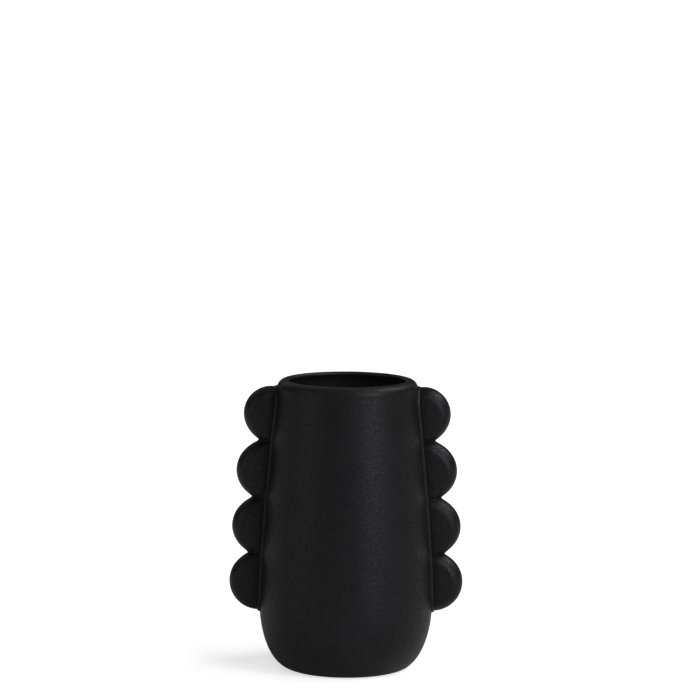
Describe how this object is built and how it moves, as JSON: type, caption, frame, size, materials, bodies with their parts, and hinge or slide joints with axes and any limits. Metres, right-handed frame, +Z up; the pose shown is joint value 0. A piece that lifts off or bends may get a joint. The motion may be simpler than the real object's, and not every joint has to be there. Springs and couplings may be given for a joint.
{
  "type": "ceramic vase",
  "caption": "Matte black stoneware vase with a wide round mouth, a tapering body, a rounded heel and a scalloped side handle of pillow-shaped lobes on each side.",
  "frame": {"origin": "centre of the foot, on the surface the vase stands on", "axes": "+Z up through the mouth, +X out through the right handle, +Y towards the back"},
  "size_m": [0.1616, 0.12, 0.2],
  "materials": {
    "body_stoneware": "matte",
    "handle_stoneware": "matte"
  },
  "bodies": {
    "root": {"vase_body": "body_stoneware", "left_handle_strip": "handle_stoneware", "right_handle_strip": "handle_stoneware", "left_lobe_1": "handle_stoneware", "left_lobe_2": "handle_stoneware", "left_lobe_3": "handle_stoneware", "left_lobe_4": "handle_stoneware", "right_lobe_1": "handle_stoneware", "right_lobe_2": "handle_stoneware", "right_lobe_3": "handle_stoneware", "right_lobe_4": "handle_stoneware"}
  },
  "joints": []
}
